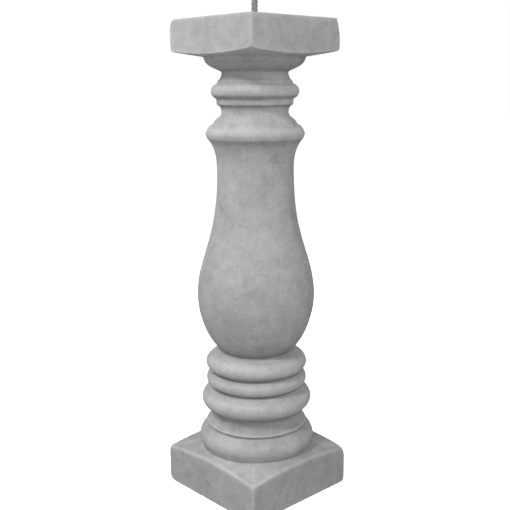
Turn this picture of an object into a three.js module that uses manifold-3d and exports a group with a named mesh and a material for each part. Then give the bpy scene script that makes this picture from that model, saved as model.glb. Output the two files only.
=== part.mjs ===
// A turned baluster cast in cement, with the end of a steel bar standing out of its top.
// Units are millimetres, +Z is up, and the origin is at the middle of the underside.
import * as THREE from 'three';
import { mergeVertices } from 'three/addons/utils/BufferGeometryUtils.js';
import Module from 'manifold-3d';

const wasm = await Module();
wasm.setup();

// The casting's height, without the bar. The throat of the vase takes up what the mouldings
// and the two blocks leave of it.
const balusterHeight = 600;

// The plinth, the square block at the foot. Its top rises in a shallow cone from the corners
// to the base torus, so each upper edge of the block is a low arch.
const plinthSide = 167;
const plinthCornerHeight = 48;
const plinthCrown = 8.2;

// The turned mouldings. A torus or bead bulges as part of an ellipse: its swell is the ellipse's
// half width, its half height is the ellipse's too, and it ends at the creases that it shares
// with its neighbours. A crease's depth is counted from the smaller of the two neighbours.
const baseTorusSink = 4.7;
const baseTorusRadius = 75;
const baseTorusSwell = 16.2;
const baseTorusHalfHeight = 18.1;
const lipCreaseDepth = 3;
const lipRadius = 65.6;
const lipSwell = 2.8;
const lipHalfHeight = 2.8;
const scotiaDepth = 7.6;
const scotiaHeight = 13.9;
const scotiaCurveHeight = 8;
const scotiaEase = 3.5;
const lowerTorusRadius = 71.3;
const lowerTorusSwell = 42;
const lowerTorusHalfHeight = 22;
const beadCreaseDepth = 9;
const beadRadius = 65;
const beadSwell = 9;
const beadHalfHeight = 9.7;
const upperTorusRadius = 65.5;
const upperTorusSwell = 29.8;
const upperTorusHalfHeight = 16.3;

// The vase: a full belly on a narrow foot, drawn in to a long throat. The last two are shares of
// the height from the belly to the throat.
const vaseFootDepth = 21.5;
const vaseFootFlare = 14.5;
const vaseFootLift = 9;
const bellyRadius = 74.8;
const bellyRise = 73.3;
const bellyRoundness = 32;
const throatRadius = 47.9;
const bellyShoulder = 0.31;
const throatEase = 0.563;

// The collar that the throat flares out to, sharp below and rounded above
const flareEase = 23;
const flareSweep = 6;
const flareRise = 39.4;
const collarRadius = 61.5;
const collarEdgeHeight = 5.2;
const collarEdgeDepth = 2.1;
const collarRoundness = 3.8;
const collarCrownDepth = 12.6;
const collarCrownHeight = 18;
const collarShoulder = 0.5;

// The neck: a hollow, a fillet, the neck torus, a second fillet and the narrow neck itself.
// The fillets are set back from the neck torus.
const hollowRadius = 41.3;
const hollowFlare = 3;
const hollowEase = 6;
const hollowFall = 9.7;
const hollowRise = 8;
const hollowBrim = 2;
const lowerFilletSetback = 7;
const lowerFilletHeight = 7.3;
const neckTorusRadius = 54.1;
const neckTorusSwell = 10.3;
const neckTorusHalfHeight = 9.4;
const upperFilletSetback = 8.1;
const upperFilletHeight = 3.4;
const neckRadius = 40.7;
const neckHeight = 9.8;
const neckEase = 3;

// The echinus, the flaring cup that carries the abacus
const echinusRadius = 62.1;
const echinusHeight = 18.4;
const echinusFullness = 12.6;

// The abacus, the square block at the top. Its underside falls in a shallow cone from the
// corners to the echinus.
const abacusSide = 147;
const abacusCornerHeight = 37.7;
const abacusCrown = 6.7;

// What the edges and corners of the two blocks have lost
const arrisRounding = 3;
const cornerWear = 6;

// The steel bar: its length in the cement, its length in the open and the room around it
const barDiameter = 8;
const barEmbedment = 60;
const barStandOut = 45;
const barChamfer = 0.8;
const barClearance = 0.3;

// How finely curves are divided
const turnedSides = 40;
const barSides = 16;
const arrisSteps = 3;

// How far the echinus runs up into the abacus, so that the two join
const rootedDepth = 6;

const cement = new THREE.MeshStandardMaterial({ color: 0xa9a9a8, roughness: 0.92, metalness: 0 });
const steel = new THREE.MeshStandardMaterial({ color: 0x77736e, roughness: 0.6, metalness: 0.8 });

// The outline of a turned form, drawn upwards. Each moulding starts where the last one ended.
class Outline {
  constructor(radius, height) {
    this.points = [new THREE.Vector2(radius, height)];
  }

  get top() {
    return this.points[this.points.length - 1].y;
  }

  to(radius, height) {
    const last = this.points[this.points.length - 1];
    if (Math.hypot(last.x - radius, last.y - height) > 1e-6) {
      this.points.push(new THREE.Vector2(radius, height));
    }
    return this;
  }

  // A straight side that goes up from one radius to another
  rise(radius, height, endRadius = radius) {
    const start = this.top;
    return this.to(radius, start).to(endRadius, start + height);
  }

  // A bulge that starts at the radius lowerCrease and ends at the radius upperCrease
  torus(lowerCrease, radius, upperCrease, swell, halfHeight, steps) {
    const centre = radius - swell;
    const from = -Math.acos((lowerCrease - centre) / swell);
    const until = Math.acos((upperCrease - centre) / swell);
    const middle = this.top - halfHeight * Math.sin(from);
    for (let i = 0; i <= steps; i += 1) {
      const turn = from + ((until - from) * i) / steps;
      this.to(centre + swell * Math.cos(turn), middle + halfHeight * Math.sin(turn));
    }
    return this;
  }

  // A smooth sweep that goes up to another radius. It leaves its start along one handle and
  // arrives at its end along the other. A handle is a step outwards and a step upwards.
  sweep(radius, leave, height, endRadius, arrive, steps) {
    const start = this.top;
    const end = start + height;
    const curve = new THREE.CubicBezierCurve(
      new THREE.Vector2(radius, start),
      new THREE.Vector2(radius + leave[0], start + leave[1]),
      new THREE.Vector2(endRadius - arrive[0], end - arrive[1]),
      new THREE.Vector2(endRadius, end),
    );
    for (const point of curve.getPoints(steps)) this.to(point.x, point.y);
    return this;
  }
}

// Turns an outline about the Z axis, closing it to the axis at both ends
function turned(outline, sides = turnedSides) {
  const ends = [outline.points[0], outline.points[outline.points.length - 1]];
  const [foot, head] = ends.map((point) => new THREE.Vector2(0, point.y));
  return new THREE.LatheGeometry([foot, ...outline.points, head], sides).rotateX(Math.PI / 2);
}

// A square prism on the plane Z = bottom, with its upright edges rounded
function squareBlock(side, bottom, height) {
  const reach = side / 2 - arrisRounding;
  const shape = new THREE.Shape();
  for (let corner = 0; corner < 4; corner += 1) {
    const facing = Math.PI / 4 + (corner * Math.PI) / 2;
    const x = Math.sign(Math.cos(facing)) * reach;
    const y = Math.sign(Math.sin(facing)) * reach;
    shape.absarc(x, y, arrisRounding, facing - Math.PI / 4, facing + Math.PI / 4, false);
  }
  const settings = { depth: height, bevelEnabled: false, curveSegments: arrisSteps };
  return new THREE.ExtrudeGeometry(shape, settings).translate(0, 0, bottom);
}

// A cube, one face of which cuts off a block's corner. The corner is the one on the side of the
// signs x, y and z, at the height given. The cut takes cornerWear off the rounded upright edge.
function cornerCutter(side, cornerHeight, x, y, z) {
  const size = 6 * cornerWear;
  const roundedAway = arrisRounding * (Math.SQRT2 - 1);
  const lost = (cornerWear + Math.SQRT2 * roundedAway) / Math.sqrt(3);
  const outward = new THREE.Vector3(x, y, z).normalize();
  const turn = new THREE.Quaternion().setFromUnitVectors(new THREE.Vector3(0, 0, 1), outward);
  const corner = new THREE.Vector3((x * side) / 2, (y * side) / 2, cornerHeight);
  const centre = corner.addScaledVector(outward, size / 2 - lost);
  return new THREE.BoxGeometry(size, size, size).applyQuaternion(turn).translate(...centre);
}

// A closed solid from a geometry, ready to be joined or cut
function solid(geometry) {
  const bare = geometry.clone();
  bare.deleteAttribute('normal');
  bare.deleteAttribute('uv');
  const merged = mergeVertices(bare, 1e-4);
  const corners = merged.index.array;
  const triangles = [];
  for (let i = 0; i < corners.length; i += 3) {
    const [a, b, c] = corners.slice(i, i + 3);
    if (a !== b && b !== c && c !== a) triangles.push(a, b, c);
  }
  return new wasm.Manifold(new wasm.Mesh({
    numProp: 3,
    vertProperties: new Float32Array(merged.attributes.position.array),
    triVerts: new Uint32Array(triangles),
  }));
}

// A named piece from a finished solid
function piece(name, body, material) {
  const { vertProperties, triVerts } = body.getMesh();
  const indexed = new THREE.BufferGeometry();
  indexed.setAttribute('position', new THREE.BufferAttribute(vertProperties, 3));
  indexed.setIndex(new THREE.BufferAttribute(triVerts, 1));
  const geometry = indexed.toNonIndexed();
  geometry.computeVertexNormals();
  const mesh = new THREE.Mesh(geometry, material);
  mesh.name = name;
  return mesh;
}

// The mouldings from the plinth up to the widest part of the vase
function lowerMouldings(foot) {
  const root = baseTorusRadius - baseTorusSwell;
  const lipCrease = Math.min(baseTorusRadius, lipRadius) - lipCreaseDepth;
  const scotia = Math.min(lipRadius, lowerTorusRadius) - scotiaDepth;
  const beadFoot = Math.min(lowerTorusRadius, beadRadius) - beadCreaseDepth;
  const beadHead = Math.min(beadRadius, upperTorusRadius) - beadCreaseDepth;
  const vaseFoot = Math.min(upperTorusRadius, bellyRadius) - vaseFootDepth;
  return new Outline(root, foot - baseTorusSink)
    .torus(root, baseTorusRadius, lipCrease, baseTorusSwell, baseTorusHalfHeight, 9)
    .torus(lipCrease, lipRadius, lipCrease, lipSwell, lipHalfHeight, 4)
    .sweep(lipCrease, [-scotiaEase, 0], scotiaCurveHeight, scotia, [0, scotiaEase], 3)
    .rise(scotia, scotiaHeight - scotiaCurveHeight)
    .torus(scotia, lowerTorusRadius, beadFoot, lowerTorusSwell, lowerTorusHalfHeight, 8)
    .torus(beadFoot, beadRadius, beadHead, beadSwell, beadHalfHeight, 6)
    .torus(beadHead, upperTorusRadius, vaseFoot, upperTorusSwell, upperTorusHalfHeight, 8)
    .sweep(vaseFoot, [vaseFootFlare, vaseFootLift], bellyRise, bellyRadius, [0, bellyRoundness], 8);
}

// The mouldings from the vase's throat up to the abacus
function upperMouldings(throat) {
  const flare = collarRadius - collarEdgeDepth;
  const crown = collarRadius - collarCrownDepth;
  const lowerFillet = neckTorusRadius - lowerFilletSetback;
  const upperFillet = neckTorusRadius - upperFilletSetback;
  return new Outline(throatRadius, throat)
    .sweep(throatRadius, [0, flareEase], flareRise, flare, [flareSweep, flareSweep], 5)
    .rise(flare, collarEdgeHeight, collarRadius)
    .sweep(collarRadius, [0, collarRoundness], collarCrownHeight, crown, [0, 0], 5)
    .sweep(crown - collarShoulder, [-hollowFlare, hollowFlare], hollowFall, hollowRadius, [0, hollowEase], 4)
    .sweep(hollowRadius, [0, hollowEase], hollowRise, lowerFillet, [hollowBrim, 0], 3)
    .rise(lowerFillet, lowerFilletHeight)
    .torus(lowerFillet, neckTorusRadius, upperFillet, neckTorusSwell, neckTorusHalfHeight, 7)
    .rise(upperFillet, upperFilletHeight)
    .sweep(upperFillet, [-neckEase, 0], neckHeight, neckRadius, [0, neckEase], 3)
    .sweep(neckRadius, [0, neckEase], echinusHeight, echinusRadius, [0, echinusFullness], 6);
}

// The whole shaft. The vase narrows from its belly to its throat between the two stacks.
function shaftOutline(foot, head) {
  const outline = lowerMouldings(foot);
  const throat = head - upperMouldings(0).top;
  const rise = throat - outline.top;
  outline.sweep(bellyRadius, [0, bellyShoulder * rise], rise, throatRadius, [0, throatEase * rise], 10);
  for (const point of upperMouldings(throat).points) outline.to(point.x, point.y);
  return outline.rise(echinusRadius, rootedDepth);
}

// The square block at the foot, with its top falling from the shaft to the corners
function plinth() {
  const reach = plinthSide / Math.SQRT2;
  const slope = plinthCrown / (reach - baseTorusRadius);
  const apex = plinthCornerHeight + slope * reach;
  const wide = reach + arrisRounding;
  const blank = new Outline(wide, -rootedDepth)
    .to(wide, plinthCornerHeight - slope * arrisRounding)
    .to(0, apex);
  return solid(squareBlock(plinthSide, 0, apex))
    .intersect(solid(turned(blank)))
    .subtract(solid(cornerCutter(plinthSide, 0, -1, -1, -1)))
    .subtract(solid(cornerCutter(plinthSide, plinthCornerHeight, 1, 1, 1)));
}

// The square block at the top, with its underside rising from the shaft to the corners
function abacus(head) {
  const reach = abacusSide / Math.SQRT2;
  const slope = abacusCrown / (reach - echinusRadius);
  const corner = head + abacusCrown;
  const apex = corner - slope * reach;
  const wide = reach + arrisRounding;
  const blank = new Outline(0, apex)
    .to(wide, corner + slope * arrisRounding)
    .to(wide, balusterHeight + rootedDepth);
  return solid(squareBlock(abacusSide, apex, balusterHeight - apex))
    .intersect(solid(turned(blank)))
    .subtract(solid(cornerCutter(abacusSide, balusterHeight, -1, -1, 1)));
}

// A round bar on the Z axis, with its upper end chamfered
function roundBar(radius, bottom, top, chamfer) {
  const bar = new Outline(radius, bottom).to(radius, top - chamfer).to(radius - chamfer, top);
  return turned(bar, barSides);
}

const shaftFoot = plinthCornerHeight + plinthCrown;
const shaftHead = balusterHeight - abacusCornerHeight - abacusCrown;
const barRadius = barDiameter / 2;
const barFoot = balusterHeight - barEmbedment;
const barHead = balusterHeight + barStandOut;
const barHole = roundBar(barRadius + barClearance, barFoot - barClearance, barHead, 0);

const casting = plinth()
  .add(solid(turned(shaftOutline(shaftFoot, shaftHead), turnedSides)))
  .add(abacus(shaftHead))
  .subtract(solid(barHole));

const baluster = new THREE.Group();
baluster.add(piece('baluster', casting, cement));
baluster.add(piece('steel_bar', solid(roundBar(barRadius, barFoot, barHead, barChamfer)), steel));

export default baluster;
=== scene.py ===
"""The looks of a turned cement baluster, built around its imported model.

Surfaces are worked out in millimetres, and become metres when their mesh is made.
"""

import math

import bpy
import numpy as np
from mathutils import Matrix, Vector, noise


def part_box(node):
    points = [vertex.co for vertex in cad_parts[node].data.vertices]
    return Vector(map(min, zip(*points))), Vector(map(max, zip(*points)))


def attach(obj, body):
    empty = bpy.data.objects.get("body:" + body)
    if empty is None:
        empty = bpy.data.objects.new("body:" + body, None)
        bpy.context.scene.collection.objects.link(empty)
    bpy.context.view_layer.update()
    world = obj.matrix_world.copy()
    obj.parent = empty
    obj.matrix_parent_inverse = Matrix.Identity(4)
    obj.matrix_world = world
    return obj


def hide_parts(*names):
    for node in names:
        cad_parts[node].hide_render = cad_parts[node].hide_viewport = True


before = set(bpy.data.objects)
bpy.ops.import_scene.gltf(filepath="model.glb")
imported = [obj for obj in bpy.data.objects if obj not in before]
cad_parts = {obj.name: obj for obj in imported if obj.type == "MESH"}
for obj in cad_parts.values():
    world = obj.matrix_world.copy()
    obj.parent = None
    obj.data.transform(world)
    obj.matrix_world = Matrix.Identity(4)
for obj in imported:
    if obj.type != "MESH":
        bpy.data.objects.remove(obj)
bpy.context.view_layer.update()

MM = 0.001
TINY = 1e-9


def node_box(node):
    """A node's lowest and highest corner in millimetres."""
    return [np.array(corner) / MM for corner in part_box(node)]


CASTING_HIGH = node_box("baluster")[1]
BAR_LOW, BAR_HIGH = node_box("steel_bar")

# The plinth and the abacus. Each is square, with a shallow cone towards the shaft.
HEIGHT = CASTING_HIGH[2]
PLINTH_HALF = CASTING_HIGH[0]
PLINTH_CORNER_HEIGHT = 48
PLINTH_CROWN = 8.2
ABACUS_HALF = 73.5
ABACUS_CORNER_HEIGHT = HEIGHT - 37.7
ABACUS_CROWN = 6.7

# How round the blocks' edges are
UPRIGHT_ROUNDING = 3
PLINTH_TOP_ROUNDING = 3.2
PLINTH_FOOT_ROUNDING = 1.8
ABACUS_TOP_ROUNDING = 1.6
ABACUS_FOOT_ROUNDING = 1.3

# The mouldings of the foot, as radii and heights
BASE_TORUS = {"radius": 75, "swell": 16.2, "half_height": 18.1}
BASE_TORUS_SINK = 4.7
LIP = {"radius": 65.6, "swell": 2.8, "half_height": 2.8}
LIP_CREASE = 62.6
SCOTIA_RADIUS = 58
SCOTIA_HEIGHT = 13.9
SCOTIA_CURVE_HEIGHT = 8
SCOTIA_EASE = 3.5
LOWER_TORUS = {"radius": 71.3, "swell": 42, "half_height": 22}
BEAD_CREASE = 56
BEAD = {"radius": 65, "swell": 9, "half_height": 9.7}
UPPER_TORUS = {"radius": 65.5, "swell": 29.8, "half_height": 16.3}

# The vase. The last two are shares of the height from the belly to the throat.
VASE_FOOT_RADIUS = 44
VASE_FOOT_HANDLE = (14.5, 9)
BELLY_RADIUS = 74.8
BELLY_RISE = 73.3
BELLY_ROUNDNESS = 32
THROAT_RADIUS = 47.9
BELLY_SHOULDER = 0.31
THROAT_EASE = 0.563

# The collar, the neck and the echinus
FLARE_RADIUS = 59.4
FLARE_RISE = 39.4
FLARE_EASE = 23
FLARE_SWEEP = 6
COLLAR_RADIUS = 61.5
COLLAR_EDGE_HEIGHT = 5.2
COLLAR_ROUNDNESS = 4
COLLAR_HEIGHT = 12.4
COLLAR_TOP_RADIUS = 51.6
COLLAR_TOP_HANDLE = (-5.5, 0.8)
COLLAR_FILLET_HEIGHT = 5.6
COLLAR_FILLET_EASE = 2.2
CROWN_RADIUS = 48.4
HOLLOW_RADIUS = 41.3
HOLLOW_FLARE = 3
HOLLOW_EASE = 6
HOLLOW_FALL = 9.7
HOLLOW_RISE = 8
HOLLOW_BRIM = 2
LOWER_FILLET_RADIUS = 47.1
LOWER_FILLET_HEIGHT = 7.3
NECK_TORUS = {"radius": 54.1, "swell": 10.3, "half_height": 9.4}
UPPER_FILLET_RADIUS = 46
UPPER_FILLET_HEIGHT = 3.4
NECK_RADIUS = 40.7
NECK_HEIGHT = 9.8
NECK_EASE = 3
ECHINUS_RADIUS = 62.1
ECHINUS_HEIGHT = 18.4
ECHINUS_FULLNESS = 12.6

# Where the cement has lost a corner: the block's half side, the corner's height, the side of the
# block it is on along X and Y, how far up the loss faces, how deep it is and how softly it ends
WORN_CORNERS = [
    (PLINTH_HALF, 0, -1, -1, -1, 3.6, 1.2),
    (PLINTH_HALF, 0, 1, 1, -1, 2.3, 1.2),
    (PLINTH_HALF, 0, -1, 1, -1, 2.3, 1.2),
    (PLINTH_HALF, PLINTH_CORNER_HEIGHT, 1, 1, 1.2, 3.8, 1.6),
    (PLINTH_HALF, PLINTH_CORNER_HEIGHT, -1, -1, 1, 2, 1.2),
    (PLINTH_HALF, PLINTH_CORNER_HEIGHT, -1, 1, 1, 2.6, 1.2),
    (PLINTH_HALF, PLINTH_CORNER_HEIGHT, 1, -1, 1, 2, 1.4),
    (ABACUS_HALF, HEIGHT, -1, -1, 1, 4.2, 1.5),
    (ABACUS_HALF, HEIGHT, 1, 1, 0.3, 5, 0.8),
    (ABACUS_HALF, HEIGHT, -1, 1, 1, 2, 1),
    (ABACUS_HALF, ABACUS_CORNER_HEIGHT, -1, -1, -1, 1.7, 1.2),
    (ABACUS_HALF, ABACUS_CORNER_HEIGHT, 1, 1, -1, 1.6, 1.2),
    (ABACUS_HALF, ABACUS_CORNER_HEIGHT, 1, -1, -1, 1.4, 1.4),
]
WORN_REACH = 32
LEAST_WORN = 1e-3

# How worn the surface is beside an edge, beside an upright corner and where a corner is lost
EDGE_WEAR_REACH = 2
CORNER_WEAR_REACH = 2.4
LOST_DEPTH = 2
LOST_WEAR = 0.8

# The hole for the bar, the radii and heights of its softened mouth, and the painted shade on its
# mouth
HOLE_RADIUS = 4.3
HOLE_FLOOR = BAR_LOW[2] - 0.3
HOLE_MOUTH = [(6, HEIGHT), (4.7, HEIGHT - 0.15), (HOLE_RADIUS, HEIGHT - 0.7)]
HOLE_MOUTH_PAINTED_SHADE = 0.4
HOLE_WALL_HEIGHTS = [HEIGHT - 4, HEIGHT - 25, HOLE_FLOOR]

# The unevenness: how large its lumps are and where in the noise they are taken from, how far the
# surface goes with them, how far the blocks' faces go in, and how deep the nicks are
BROAD_LUMPS = {"size": 38, "place": 11}
BROAD_DEPTH = 0.45
CLOSE_LUMPS = {"size": 12, "place": 47}
CLOSE_DEPTH = 0.16
BLOCK_SHARE = 0.7
BLOCK_MARGIN = 0.5
NICKS = {"size": 5.5, "place": 83}
NICK_START = 0.2
BLOCK_NICK_DEPTH = 1.2
SHAFT_NICK_DEPTH = 0.5

# How the surface is divided: columns in half a quarter of the way round, closer together at
# the blocks' corners, and rows that are closer together where the outline turns
COLUMNS = 28
COLUMN_CROWDING = 1.6
ROW_STEP = 3.4
ROW_TURN = math.radians(15)
FINE_STEP = 0.25
CAST_SOFTNESS = 1
SHAFT_START_RADIUS = 76
SHAFT_END_RADIUS = 66

# The blocks' rows: across the flat faces, over the cones, up the sides and round the edges
UNDERSIDE_SHARES = (0.1, 0.35, 0.6, 0.8, 0.9, 0.95, 0.98)
TOP_SHARES = (0.985, 0.95, 0.88, 0.75, 0.55, 0.35, 0.2)
CONE_CROWDING = 1.3
PLINTH_CONE_STEPS = 12
ABACUS_CONE_STEPS = 9
PLINTH_SIDE_ROWS = 14
ABACUS_SIDE_ROWS = 12
ARRIS_ROWS = 6
PLINTH_TOP_ARRIS_ROWS = 7

# How the outline shows in the material: painted shade under the mouldings, worn ridges and a
# painted highlight on the bulges. Each number is smoothed along the outline and then taken
# from a facing, the cosine of a heading, or from a turning, in radians a millimetre.
PAINTED_SHADE_BLUR, PAINTED_SHADE_START, PAINTED_SHADE_RANGE = 1, 0.47, 0.12
MOULDED_BLUR, MOULDED_GAIN, MOULDED_LEAST = 4, 25, 0.5
RIDGE_BLUR, RIDGE_GAIN, RIDGE_OFFSET = 1.4, 2.4, 0.3
PAINTED_HIGHLIGHT_BLUR, PAINTED_HIGHLIGHT_GAIN, PAINTED_HIGHLIGHT_OFFSET, PAINTED_HIGHLIGHT_MOST = 5, 30, 0.9, 0.8

# The bar: its mesh, its two long ribs, its crescent ribs, the skew of its cut and its roughness
BAR_COLUMNS = 48
BAR_ROW_STEP = 0.45
BAR_SLACK = 0.02
BAR_CHAMFER = 0.3
BAR_CUT_HEIGHT = 0.4
LONG_RIB_HEIGHT = 0.36
LONG_RIB_WIDTH = 0.16
RIB_HEIGHT = 0.42
RIB_WIDTH = 0.16
RIB_PITCH = 5.2
RIB_LEAN = 0.9
CUT_SKEW = 0.25
CUT_HEADING = 0.8
BAR_LUMPS = {"size": 2.5, "place": 5}
BAR_LUMP_SHARE = 0.02


class Outline:
    """The outline of the turned shaft, drawn upwards as points of radius and height."""

    STEPS = 48

    def __init__(self, radius, height):
        self.points = [(radius, height)]

    @property
    def top(self):
        return self.points[-1][1]

    def rise(self, radius, height, end_radius=None):
        """A straight side."""
        start = self.top
        self.points.append((radius, start))
        self.points.append((radius if end_radius is None else end_radius, start + height))

    def torus(self, lower_crease, upper_crease, radius, swell, half_height):
        """A bulge, part of an ellipse, cut off at a crease below and a crease above."""
        centre = radius - swell
        start = -math.acos((lower_crease - centre) / swell)
        end = math.acos((upper_crease - centre) / swell)
        middle = self.top - half_height * math.sin(start)
        for turn in np.linspace(start, end, self.STEPS):
            self.points.append((centre + swell * math.cos(turn),
                                middle + half_height * math.sin(turn)))

    def sweep(self, radius, leave, height, end_radius, arrive):
        """A curve that leaves its start along one handle and arrives along the other."""
        start, end = self.top, self.top + height
        handles = np.array([(radius, start), (radius + leave[0], start + leave[1]),
                            (end_radius - arrive[0], end - arrive[1]), (end_radius, end)])
        for t in np.linspace(0, 1, self.STEPS):
            weights = np.array([(1 - t) ** 3, 3 * (1 - t) ** 2 * t, 3 * (1 - t) * t ** 2, t ** 3])
            self.points.append(tuple(weights @ handles))


def foot_mouldings(bottom):
    """From the base torus up to the belly."""
    root = BASE_TORUS["radius"] - BASE_TORUS["swell"]
    outline = Outline(root, bottom - BASE_TORUS_SINK)
    outline.torus(root, LIP_CREASE, **BASE_TORUS)
    outline.torus(LIP_CREASE, LIP_CREASE, **LIP)
    outline.sweep(LIP_CREASE, (-SCOTIA_EASE, 0), SCOTIA_CURVE_HEIGHT,
                  SCOTIA_RADIUS, (0, SCOTIA_EASE))
    outline.rise(SCOTIA_RADIUS, SCOTIA_HEIGHT - SCOTIA_CURVE_HEIGHT)
    outline.torus(SCOTIA_RADIUS, BEAD_CREASE, **LOWER_TORUS)
    outline.torus(BEAD_CREASE, BEAD_CREASE, **BEAD)
    outline.torus(BEAD_CREASE, VASE_FOOT_RADIUS, **UPPER_TORUS)
    outline.sweep(VASE_FOOT_RADIUS, VASE_FOOT_HANDLE, BELLY_RISE,
                  BELLY_RADIUS, (0, BELLY_ROUNDNESS))
    return outline


def head_mouldings(throat):
    """From the throat up to the echinus."""
    outline = Outline(THROAT_RADIUS, throat)
    outline.sweep(THROAT_RADIUS, (0, FLARE_EASE), FLARE_RISE,
                  FLARE_RADIUS, (FLARE_SWEEP, FLARE_SWEEP))
    outline.rise(FLARE_RADIUS, COLLAR_EDGE_HEIGHT, COLLAR_RADIUS)
    outline.sweep(COLLAR_RADIUS, (0, COLLAR_ROUNDNESS), COLLAR_HEIGHT,
                  COLLAR_TOP_RADIUS, COLLAR_TOP_HANDLE)
    outline.sweep(COLLAR_TOP_RADIUS, (0, COLLAR_FILLET_EASE), COLLAR_FILLET_HEIGHT,
                  CROWN_RADIUS, (-HOLLOW_FLARE, HOLLOW_FLARE))
    outline.sweep(CROWN_RADIUS, (-HOLLOW_FLARE, HOLLOW_FLARE), HOLLOW_FALL,
                  HOLLOW_RADIUS, (0, HOLLOW_EASE))
    outline.sweep(HOLLOW_RADIUS, (0, HOLLOW_EASE), HOLLOW_RISE,
                  LOWER_FILLET_RADIUS, (HOLLOW_BRIM, 0))
    outline.rise(LOWER_FILLET_RADIUS, LOWER_FILLET_HEIGHT)
    outline.torus(LOWER_FILLET_RADIUS, UPPER_FILLET_RADIUS, **NECK_TORUS)
    outline.rise(UPPER_FILLET_RADIUS, UPPER_FILLET_HEIGHT)
    outline.sweep(UPPER_FILLET_RADIUS, (-NECK_EASE, 0), NECK_HEIGHT, NECK_RADIUS, (0, NECK_EASE))
    outline.sweep(NECK_RADIUS, (0, NECK_EASE), ECHINUS_HEIGHT,
                  ECHINUS_RADIUS, (0, ECHINUS_FULLNESS))
    return outline


def shaft_outline(bottom, top):
    """All the mouldings, with the vase between the two stacks."""
    outline = foot_mouldings(bottom)
    throat = top - head_mouldings(0).top
    rise = throat - outline.top
    outline.sweep(BELLY_RADIUS, (0, BELLY_SHOULDER * rise), rise,
                  THROAT_RADIUS, (0, THROAT_EASE * rise))
    return np.array(outline.points + head_mouldings(throat).points)


# The two cones: how steep they are, and how high they are at a radius
PLINTH_REACH = PLINTH_HALF * math.sqrt(2)
PLINTH_SLOPE = PLINTH_CROWN / (PLINTH_REACH - BASE_TORUS["radius"])
ABACUS_REACH = ABACUS_HALF * math.sqrt(2)
ABACUS_SLOPE = ABACUS_CROWN / (ABACUS_REACH - ECHINUS_RADIUS)


def plinth_top(radius):
    return PLINTH_CORNER_HEIGHT + PLINTH_SLOPE * (PLINTH_REACH - radius)


def abacus_underside(radius):
    return ABACUS_CORNER_HEIGHT - ABACUS_SLOPE * (ABACUS_REACH - radius)


def fine_points(outline):
    """Points along the outline that are FINE_STEP apart."""
    steps = np.diff(outline, axis=0)
    distances = np.concatenate([[0], np.cumsum(np.hypot(steps[:, 0], steps[:, 1]))])
    wanted = np.arange(0, distances[-1], FINE_STEP)
    return np.column_stack([np.interp(wanted, distances, outline[:, i]) for i in (0, 1)])


def blur(values, radius):
    """Smooths a line of values that are FINE_STEP apart, keeping its two ends."""
    reach = int(3 * radius / FINE_STEP)
    weights = np.exp(-0.5 * (np.arange(-reach, reach + 1) * FINE_STEP / radius) ** 2)
    before = 2 * values[0] - values[reach:0:-1]
    after = 2 * values[-1] - values[-2:-reach - 2:-1]
    return np.convolve(np.concatenate([before, values, after]), weights / weights.sum(), "valid")


def shaft_rows():
    """The radii and heights of the shaft's rows, from out on the plinth's cone to out on the
    abacus's. With them come how much painted shade each row gets where it faces down, how worn
    it is as an edge, and how much painted highlight it gets on a bulge."""
    outline = shaft_outline(PLINTH_CORNER_HEIGHT + PLINTH_CROWN,
                            ABACUS_CORNER_HEIGHT - ABACUS_CROWN)
    standing = np.argmax(outline[:, 1] > plinth_top(outline[:, 0]))
    start = [(SHAFT_START_RADIUS, plinth_top(SHAFT_START_RADIUS))]
    end = [(SHAFT_END_RADIUS, abacus_underside(SHAFT_END_RADIUS))]
    fine = fine_points(np.concatenate([start, outline[standing:], end]))
    radii, heights = [blur(fine[:, i], CAST_SOFTNESS) for i in (0, 1)]

    headings = np.unwrap(np.arctan2(np.gradient(heights), np.gradient(radii)))
    turning = np.gradient(headings) / FINE_STEP
    facing = blur(np.cos(headings), PAINTED_SHADE_BLUR)
    moulded = np.clip(MOULDED_GAIN * blur(np.abs(turning), MOULDED_BLUR), MOULDED_LEAST, 1)
    # Painted shade where the outline faces down beside a moulding
    painted_shade_mask = np.clip((facing - PAINTED_SHADE_START) / PAINTED_SHADE_RANGE, 0, 1) * moulded
    ridged = np.clip(RIDGE_GAIN * blur(turning, RIDGE_BLUR) - RIDGE_OFFSET, 0, 1)
    # proud is a painted highlight on the bulges
    proud = np.clip(PAINTED_HIGHLIGHT_GAIN * blur(turning, PAINTED_HIGHLIGHT_BLUR) - PAINTED_HIGHLIGHT_OFFSET, 0, PAINTED_HIGHLIGHT_MOST)

    cost = np.cumsum(FINE_STEP / ROW_STEP + np.abs(turning) * FINE_STEP / ROW_TURN)
    wanted = np.linspace(cost[0], cost[-1], int(cost[-1]) + 1)
    return [np.interp(wanted, cost, line) for line in (radii, heights, painted_shade_mask, ridged, proud)]


def column_angles():
    """The columns' angles, and how far each is from the nearest corner of the blocks."""
    shares = np.arange(-COLUMNS, COLUMNS) / COLUMNS
    quarter = math.radians(45) * np.sign(shares) * np.abs(shares) ** COLUMN_CROWDING
    corners = np.radians([45, 135, 225, 315])
    return np.concatenate([corner + quarter for corner in corners]), np.tile(np.abs(quarter), 4)


ANGLES, FROM_CORNER = column_angles()


def square(half):
    """How far a square with rounded corners reaches in the direction of each column."""
    turn = math.radians(45) - FROM_CORNER
    inner = half - UPRIGHT_ROUNDING
    across = inner * (np.cos(turn) - np.sin(turn))
    beyond = np.sqrt(np.maximum(UPRIGHT_ROUNDING ** 2 - across ** 2, 0))
    rounded = inner * (np.cos(turn) + np.sin(turn)) + beyond
    return np.where(half * np.tan(turn) > inner, rounded, half / np.cos(turn))


def edge_wear(distance):
    """How worn a block is at a distance from its edge."""
    return np.exp(-(distance / EDGE_WEAR_REACH) ** 2)


def cone_shares(steps):
    """How far in the rows of a cone are, as shares. They are closer together at its edge."""
    return (np.arange(1, steps) / steps) ** CONE_CROWDING


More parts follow.
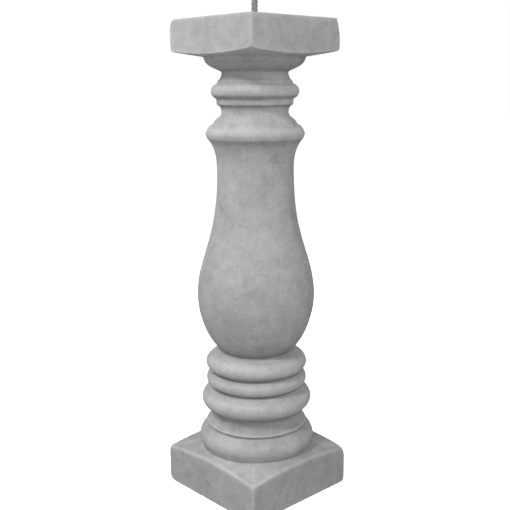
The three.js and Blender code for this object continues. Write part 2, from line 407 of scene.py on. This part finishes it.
class Skin:
    """The rows of a closed surface, from the middle of its underside to the floor of its hole."""

    def __init__(self):
        self.rows = []

    def row(self, radius, height, painted_shade_mask=0, ridged=0, proud=0, ground=0):
        """ground is 1 where the row lies on a face that stays as it is."""
        values = (radius, height, painted_shade_mask, ridged, proud, ground)
        self.rows.append(np.array(np.broadcast_arrays(*values, ANGLES)[:-1]))

    def flat(self, shares, reach, height):
        """The rows across a flat face."""
        for share in shares:
            self.row(share * reach, height, ground=1)

    def arris(self, reach, height, rounding, start, end, rows):
        """A rounded edge about a centre that is one rounding in from the block's side."""
        for turn in np.linspace(start, end, rows):
            self.row(reach + rounding * (math.cos(turn) - 1), height + rounding * math.sin(turn),
                     ridged=1)

    def side(self, bottom, top, reach, rows):
        """The rows of an upright side between its two arrises."""
        for share in 0.5 - 0.5 * np.cos(np.linspace(0, math.pi, rows + 2)[1:-1]):
            height = bottom + (top - bottom) * share
            self.row(reach, height, ridged=edge_wear(np.minimum(height - bottom, top - height)))


def plinth_rows(skin, shaft_radius):
    """From the middle of the underside out, up the sides, and in over the cone to the shaft."""
    reach = square(PLINTH_HALF)
    rounding = PLINTH_FOOT_ROUNDING
    skin.flat(UNDERSIDE_SHARES, reach - rounding, 0)
    skin.arris(reach, rounding, rounding, math.radians(-90), 0, ARRIS_ROWS)
    turn = math.radians(90) - math.atan(PLINTH_SLOPE)
    side_top = plinth_top(reach) - PLINTH_TOP_ROUNDING * math.tan(turn / 2)
    skin.side(rounding, side_top, reach, PLINTH_SIDE_ROWS)
    skin.arris(reach, side_top, PLINTH_TOP_ROUNDING, 0, turn, PLINTH_TOP_ARRIS_ROWS)
    edge = reach - PLINTH_TOP_ROUNDING * (1 - math.cos(turn))
    for share in cone_shares(PLINTH_CONE_STEPS):
        radius = edge + (shaft_radius - edge) * share
        skin.row(radius, plinth_top(radius), ridged=edge_wear(edge - radius))


def abacus_rows(skin, shaft_radius):
    """From the shaft out over the cone, up the sides, and in over the top to the hole."""
    reach = square(ABACUS_HALF)
    turn = math.radians(90) - math.atan(ABACUS_SLOPE)
    edge = reach - ABACUS_FOOT_ROUNDING * (1 - math.cos(turn))
    for share in 1 - cone_shares(ABACUS_CONE_STEPS)[::-1]:
        radius = shaft_radius + (edge - shaft_radius) * share
        skin.row(radius, abacus_underside(radius), ridged=edge_wear(edge - radius))
    side_bottom = abacus_underside(reach) + ABACUS_FOOT_ROUNDING * math.tan(turn / 2)
    skin.arris(reach, side_bottom, ABACUS_FOOT_ROUNDING, -turn, 0, ARRIS_ROWS)
    rounding = ABACUS_TOP_ROUNDING
    skin.side(side_bottom, HEIGHT - rounding, reach, ABACUS_SIDE_ROWS)
    skin.arris(reach, HEIGHT - rounding, rounding, 0, math.radians(90), ARRIS_ROWS)
    skin.flat(TOP_SHARES, reach - rounding, HEIGHT)


def hole_rows(skin):
    # Painted shade in the hole: part of it on the mouth, all of it on the walls
    for radius, height in HOLE_MOUTH:
        skin.row(radius, height, HOLE_MOUTH_PAINTED_SHADE, ground=1)
    for height in HOLE_WALL_HEIGHTS:
        skin.row(HOLE_RADIUS, height, 1, ground=1)


def casting_skin():
    """The casting's radii, heights and numbers for the material, in rows and columns."""
    skin = Skin()
    shaft = shaft_rows()
    plinth_rows(skin, shaft[0][0])
    for row in zip(*shaft):
        skin.row(*row)
    abacus_rows(skin, shaft[0][-1])
    hole_rows(skin)
    return np.array(skin.rows).transpose(1, 0, 2)


def placed(radius, angles, height):
    """Points from rows of radii and heights."""
    return np.stack([radius * np.cos(angles), radius * np.sin(angles), height], axis=-1)


def wear_corners(points):
    """Pushes the blocks' worn corners in. Gives how far each point went."""
    gone = np.zeros(points.shape[:2])
    for half, height, x, y, up, depth, softness in WORN_CORNERS:
        outward = np.array([x, y, up]) / np.linalg.norm([x, y, up])
        corner = np.array([x * half, y * half, height])
        beyond = (points - corner) @ outward + depth
        push = softness * np.logaddexp(0, beyond / softness)
        is_far = np.linalg.norm(points - corner, axis=-1) > WORN_REACH
        push[(push < LEAST_WORN) | is_far] = 0
        points -= push[..., None] * outward
        gone += push
    return gone


def outward_normals(points):
    along_columns = np.roll(points, -1, axis=1) - np.roll(points, 1, axis=1)
    along_rows = np.gradient(points, axis=0)
    normals = np.cross(along_columns, along_rows)
    return normals / np.maximum(np.linalg.norm(normals, axis=-1, keepdims=True), TINY)


def field(points, size, place):
    """Smooth noise from about -1 to 1 whose lumps have the size given."""
    flat = points.reshape(-1, 3) / size + place
    return np.array([noise.noise(Vector(p)) for p in flat]).reshape(points.shape[:2])


def roughen(points, ridged, ground, is_block):
    """The slight unevenness of a hand-filled mould, and small losses along the arrises. The
    blocks' faces only go in, so that they stay inside their box."""
    normals = outward_normals(points)
    amount = BROAD_DEPTH * field(points, **BROAD_LUMPS) + CLOSE_DEPTH * field(points, **CLOSE_LUMPS)
    amount = np.where(is_block, -BLOCK_SHARE * np.abs(amount), amount)
    nicks = np.clip(field(points, **NICKS) - NICK_START, 0, 1)
    amount -= np.where(is_block, BLOCK_NICK_DEPTH * nicks * ridged ** 2,
                       SHAFT_NICK_DEPTH * nicks * ridged)
    points += (amount * (1 - ground))[..., None] * normals
    points[..., :2] = np.clip(points[..., :2], -PLINTH_HALF, PLINTH_HALF)
    points[..., 2] = np.clip(points[..., 2], 0, HEIGHT)


def grid_faces(rows, columns):
    """Quads between the rows, and a fan of triangles to a middle point at either end."""
    first = np.arange(columns)
    after = np.roll(first, -1)
    faces = []
    for row in range(rows - 1):
        low, high = row * columns, (row + 1) * columns
        faces += np.column_stack([low + first, low + after, high + after, high + first]).tolist()
    bottom, top = rows * columns, rows * columns + 1
    last = (rows - 1) * columns
    faces += [[bottom, int(b), int(a)] for a, b in zip(first, after)]
    faces += [[top, last + int(a), last + int(b)] for a, b in zip(first, after)]
    return faces


def grid_mesh(name, points, ends):
    """A closed mesh from rows of points in millimetres and the middle points of its two ends."""
    rows, columns = points.shape[:2]
    vertices = np.concatenate([points.reshape(-1, 3), ends]) * MM
    mesh = bpy.data.meshes.new(name)
    mesh.from_pydata(vertices.tolist(), [], grid_faces(rows, columns))
    mesh.shade_smooth()
    piece = bpy.data.objects.new(name, mesh)
    bpy.context.scene.collection.objects.link(piece)
    return piece


def store(piece, name, values):
    """Keeps a number at every vertex for the material, 0 at the two middle points."""
    layer = piece.data.attributes.new(name, "FLOAT", "POINT")
    layer.data.foreach_set("value", np.append(values.ravel(), [0, 0]).astype(np.float32))


def cast_baluster():
    radius, height, painted_shade_mask, ridged, proud, ground = casting_skin()
    points = placed(radius, ANGLES, height)
    is_block = ((height < plinth_top(radius) + BLOCK_MARGIN)
                | (height > abacus_underside(radius) - BLOCK_MARGIN))
    corner = np.exp(-(FROM_CORNER * radius / CORNER_WEAR_REACH) ** 2) * (radius > ABACUS_HALF)
    ridged = np.maximum(ridged, np.where(is_block, corner, 0)) * (1 - ground)
    lost = np.clip(wear_corners(points) / LOST_DEPTH, 0, LOST_WEAR)
    ridged = np.maximum(ridged, lost * (1 - ground))
    roughen(points, ridged, ground, is_block)
    piece = grid_mesh("cast_baluster", points, [(0, 0, 0), (0, 0, HOLE_FLOOR)])
    # Painted shade under the mouldings and in the hole, for the material
    store(piece, "painted_shade_mask", painted_shade_mask)
    store(piece, "ridged", ridged)
    # proud carries the painted highlight on the bulges, for the material
    store(piece, "proud", proud)
    return piece


def ribbed_bar():
    """A reinforcing bar: two ribs along it, and crescent ribs that slant between them. The cut
    at its upper end is slightly askew."""
    low, high = BAR_LOW[2], BAR_HIGH[2]
    angles = np.linspace(0, 2 * math.pi, BAR_COLUMNS, endpoint=False)
    across = np.abs(np.sin(angles))
    outer = BAR_HIGH[0] - BAR_SLACK
    core = outer - RIB_HEIGHT
    long_ribs = LONG_RIB_HEIGHT * np.clip(1 - across / LONG_RIB_WIDTH, 0, 1)
    # Full in the middle between the long ribs, and gone beside them
    crescent = np.clip(1.25 * across ** 0.8 - 0.15, 0, 1)
    lean = np.where(np.sin(angles) > 0, 1, -1) * angles * RIB_LEAN

    rows = [(np.full(BAR_COLUMNS, core - BAR_CHAMFER), np.full(BAR_COLUMNS, low))]
    for height in np.arange(low + BAR_CHAMFER, high - BAR_CUT_HEIGHT, BAR_ROW_STEP):
        phase = (height / RIB_PITCH + lean / math.pi) % 1
        rib = np.clip(1 - np.abs(phase - 0.5) / RIB_WIDTH, 0, 1)
        rib = rib * rib * (3 - 2 * rib)
        proud = np.maximum(long_ribs, RIB_HEIGHT * rib * crescent)
        rows.append((core + proud, np.full(BAR_COLUMNS, height)))

    # The rows of the cut: the radius, how far below the top they are, and their share of the skew
    skew = CUT_SKEW * np.cos(angles - CUT_HEADING)
    cut = ((core - 0.1, 0.35, 0.3), (core - 0.5, 0.1, 0.4), (0.6 * core, 0.12, 0.3))
    for radius, drop, share in cut:
        rows.append((np.full(BAR_COLUMNS, radius), high - drop + skew * share))

    radius, height = np.array(rows).transpose(1, 0, 2)
    points = placed(radius, angles, np.minimum(height, high))
    scale = 1 + BAR_LUMP_SHARE * field(points, **BAR_LUMPS)
    points[..., :2] *= np.minimum(scale, outer / np.maximum(radius, TINY))[..., None]
    return grid_mesh("ribbed_bar", points, [(0, 0, low), (0, 0, high - 0.1)])


class Nodes:
    """A material's nodes, each added with its settings and with what goes into its sockets."""

    def __init__(self, name):
        self.material = bpy.data.materials.new(name)
        self.material.use_nodes = True
        self.tree = self.material.node_tree
        self.tree.nodes.clear()
        self.place = self.add("ShaderNodeTexCoord").outputs["Object"]

    def add(self, kind, sockets=None, **settings):
        node = self.tree.nodes.new(kind)
        for name, value in settings.items():
            setattr(node, name, value)
        for name, value in (sockets or {}).items():
            if isinstance(value, bpy.types.NodeSocket):
                self.tree.links.new(value, node.inputs[name])
            else:
                node.inputs[name].default_value = value
        return node

    def noise(self, size, detail=2, roughness=0.5, distortion=0):
        """Cloudy noise whose lumps have about the size given, in millimetres."""
        sockets = {"Vector": self.place, "Scale": 1 / (size * MM), "Detail": detail,
                   "Roughness": roughness, "Distortion": distortion}
        return self.add("ShaderNodeTexNoise", sockets).outputs["Fac"]

    def math(self, operation, first, second=0.0, third=0.0):
        sockets = {0: first, 1: second, 2: third}
        return self.add("ShaderNodeMath", sockets, operation=operation).outputs[0]

    def fade(self, value, start, end, low=0.0, high=1.0):
        """Goes smoothly from low to high as the value goes from start to end."""
        sockets = {"Value": value, "From Min": start, "From Max": end,
                   "To Min": low, "To Max": high}
        return self.add("ShaderNodeMapRange", sockets, interpolation_type="SMOOTHSTEP").outputs[0]

    def total(self, start, *parts):
        """The start plus every part, where a part is a value and the weight it has."""
        result = start
        for value, weight in parts:
            result = self.math("MULTIPLY_ADD", value, weight, result)
        return result

    def attribute(self, name):
        return self.add("ShaderNodeAttribute", attribute_name=name).outputs["Fac"]

    def greys(self, value, *stops):
        """A ramp of greys from pairs of a position and how light it is."""
        node = self.add("ShaderNodeValToRGB", {"Fac": value})
        elements = node.color_ramp.elements
        while len(elements) < len(stops):
            elements.new(1)
        for element, (position, light) in zip(elements, stops):
            element.position = position
            element.color = (light, light, light, 1)
        return node.outputs["Color"]

    def bump(self, height, strength, distance):
        """Relief in the shading alone. The distance is in millimetres."""
        sockets = {"Height": height, "Strength": strength, "Distance": distance * MM}
        return self.add("ShaderNodeBump", sockets).outputs[0]

    def finish(self, colour, roughness, bump, **sockets):
        surface = {"Base Color": colour, "Roughness": roughness, "Normal": bump}
        surface.update({name.replace("_", " "): value for name, value in sockets.items()})
        shader = self.add("ShaderNodeBsdfPrincipled", surface)
        self.add("ShaderNodeOutputMaterial", {"Surface": shader.outputs[0]})
        return self.material


def cement():
    """Mottled cement with stains and pinholes, paler along its worn edges. Painted shade darkens
    the pinholes, the undersides beside the mouldings and the bar's hole, and a painted highlight
    lightens the bulges.
    """
    nodes = Nodes("cast_cement")
    cloud = nodes.noise(60, 3, 0.55)
    patch = nodes.noise(14, 4, 0.6, 0.4)
    speckle = nodes.noise(3.2, 3, 0.6)
    grain = nodes.noise(1.1, 2, 0.6)
    stain = nodes.fade(nodes.noise(24, 5, 0.65, 0.8), 0.6, 0.74)

    # Pinholes in the middle of some cells, each with a size of its own, darkened with painted shade
    cells = nodes.add("ShaderNodeTexVoronoi", {"Vector": nodes.place, "Scale": 1 / (7 * MM)})
    colours = nodes.add("ShaderNodeSeparateColor", {"Color": cells.outputs["Color"]})
    size = nodes.fade(colours.outputs[0], 0.6, 1, 0, 0.11)
    pit = nodes.fade(nodes.math("SUBTRACT", size, cells.outputs["Distance"]), 0, 0.03)

    # Painted shade on the undersides beside the mouldings and in the hole, broken up by the patches
    painted_shade_mask = nodes.attribute("painted_shade_mask")
    painted_shade = nodes.math("MULTIPLY", painted_shade_mask, nodes.fade(patch, 0.3, 0.6, 0.6, 1))
    ridged = nodes.attribute("ridged")
    # proud is a painted highlight on the bulges
    proud = nodes.attribute("proud")
    shade = nodes.total(-0.33, (cloud, 0.38), (patch, 0.58), (speckle, 0.42), (grain, 0.22),
                        (stain, -0.2), (pit, -0.45), (painted_shade, -0.17), (ridged, 0.13), (proud, 0.21))
    colour = nodes.greys(shade, (0, 0.2), (0.5, 0.43), (1, 0.62))
    relief = nodes.total(0.0, (grain, 0.5), (speckle, 0.8), (patch, 0.9), (pit, -1.2))
    roughness = nodes.fade(speckle, 0.3, 0.7, 0.84, 0.95)
    return nodes.finish(colour, roughness, nodes.bump(relief, 0.5, 0.5), Specular_IOR_Level=0.3)


def bar_steel():
    """Dull steel with patches of rust, in greys like the photograph's."""
    nodes = Nodes("mill_steel")
    patch = nodes.noise(6, 4, 0.65, 0.6)
    grain = nodes.noise(0.9, 3, 0.6)
    rust = nodes.fade(patch, 0.5, 0.68)
    colour = nodes.greys(nodes.total(0.0, (patch, 0.7), (grain, 0.3)), (0.3, 0.16), (0.7, 0.34))
    bump = nodes.bump(nodes.total(0.0, (grain, 1), (rust, 0.6)), 0.5, 0.15)
    roughness = nodes.fade(rust, 0, 1, 0.5, 0.8)
    metallic = nodes.fade(rust, 0, 1, 0.4, 0.1)
    return nodes.finish(colour, roughness, bump, Metallic=metallic)


def dress(piece, node, material):
    piece.data.materials.append(material)
    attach(piece, "root")
    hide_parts(node)


# The floor's half side in metres
FLOOR_HALF = 12


def floor():
    """A floor that is lit from within, to be as white as the photograph's background. The object's
    surfaces neither reflect it nor take light from it."""
    mesh = bpy.data.meshes.new("floor")
    corners = [(x * FLOOR_HALF, y * FLOOR_HALF, 0) for x, y in ((-1, -1), (1, -1), (1, 1), (-1, 1))]
    mesh.from_pydata(corners, [], [(0, 1, 2, 3)])
    ground = bpy.data.objects.new("floor", mesh)
    bpy.context.scene.collection.objects.link(ground)
    nodes = Nodes("pale_floor")
    colour = nodes.greys(nodes.noise(400, 2), (0, 0.9), (1, 0.94))
    bump = nodes.bump(nodes.noise(5), 0.02, 1)
    mesh.materials.append(nodes.finish(colour, 0.9, bump, Emission_Color=(1, 1, 1, 1),
                                       Emission_Strength=1))
    ground.visible_diffuse = False
    ground.visible_glossy = False


# The camera stands where the photograph's did. Its distance from the axis and its height are in
# metres, its lens and sensor in millimetres.
CAMERA_AZIMUTH = math.radians(47.18)
CAMERA_DISTANCE = 1.0156
CAMERA_HEIGHT = 0.5206
CAMERA_PITCH = math.radians(11.714)
CAMERA_ROLL = math.radians(0.292)
CAMERA_PAN = math.radians(-0.056)
CAMERA_LENS = 57.42
CAMERA_SENSOR = 36


def camera():
    data = bpy.data.cameras.new("camera")
    data.lens = CAMERA_LENS
    data.sensor_width = CAMERA_SENSOR
    viewer = bpy.data.objects.new("camera", data)
    away = Matrix.Translation((0, -CAMERA_DISTANCE, CAMERA_HEIGHT))
    place = Matrix.Rotation(CAMERA_AZIMUTH, 4, "Z") @ away
    pitch = Matrix.Rotation(math.radians(90) - CAMERA_PITCH, 4, "X")
    aim = Matrix.Rotation(-CAMERA_PAN, 4, "Z") @ pitch
    viewer.matrix_world = place @ aim @ Matrix.Rotation(-CAMERA_ROLL, 4, "Z")
    bpy.context.scene.collection.objects.link(viewer)
    bpy.context.scene.camera = viewer


# What the lamps are turned towards, in metres: a point just above the middle of the shaft
LAMP_TARGET = Vector((0, 0, 0.35))


def soft_box(name, left, height, distance, size, power):
    """A large square lamp. left is how far it stands to the left of the camera, in degrees."""
    data = bpy.data.lights.new(name, "AREA")
    data.shape = "SQUARE"
    data.size = size
    data.energy = power
    lamp = bpy.data.objects.new(name, data)
    turn = CAMERA_AZIMUTH - math.radians(left)
    lamp.location = (distance * math.sin(turn), -distance * math.cos(turn), height)
    lamp.rotation_euler = (LAMP_TARGET - lamp.location).to_track_quat("-Z", "Y").to_euler()
    bpy.context.scene.collection.objects.link(lamp)


def surroundings(seen, overhead, underfoot):
    """A plain studio: the backdrop that is seen, and the fill light that comes straight down and
    straight up. Both fills fade towards the horizon."""
    world = bpy.data.worlds.new("studio")
    world.use_nodes = True
    nodes, links = world.node_tree.nodes, world.node_tree.links
    background = nodes["Background"]
    background.inputs["Color"].default_value = (1, 1, 1, 1)
    direction = nodes.new("ShaderNodeSeparateXYZ")
    links.new(nodes.new("ShaderNodeTexCoord").outputs["Generated"], direction.inputs[0])
    both = nodes.new("ShaderNodeMath")
    for place, (end, strength) in enumerate(((1, overhead), (-1, underfoot))):
        fill = nodes.new("ShaderNodeMapRange")
        fill.inputs["From Max"].default_value = end
        fill.inputs["To Max"].default_value = strength
        links.new(direction.outputs["Z"], fill.inputs["Value"])
        links.new(fill.outputs[0], both.inputs[place])
    backdrop = nodes.new("ShaderNodeMix")
    backdrop.inputs["B"].default_value = seen
    ray = nodes.new("ShaderNodeLightPath")
    links.new(ray.outputs["Is Camera Ray"], backdrop.inputs["Factor"])
    links.new(both.outputs[0], backdrop.inputs["A"])
    links.new(backdrop.outputs[0], background.inputs["Strength"])
    bpy.context.scene.world = world


dress(cast_baluster(), "baluster", cement())
dress(ribbed_bar(), "steel_bar", bar_steel())
floor()
camera()
soft_box("key", left=34, height=1.8, distance=1.45, size=0.35, power=18)
soft_box("fill", left=-50, height=1.5, distance=1.5, size=0.9, power=15)
soft_box("front", left=-8, height=0.5, distance=1.8, size=0.9, power=7)
soft_box("rim", left=100, height=1.5, distance=1.5, size=0.9, power=18)
soft_box("low", left=60, height=0.6, distance=1.2, size=0.6, power=2)
soft_box("back", left=200, height=0.7, distance=1.8, size=0.9, power=7)
surroundings(seen=1, overhead=0.1, underfoot=0.75)
bpy.context.scene.view_settings.view_transform = "Standard"
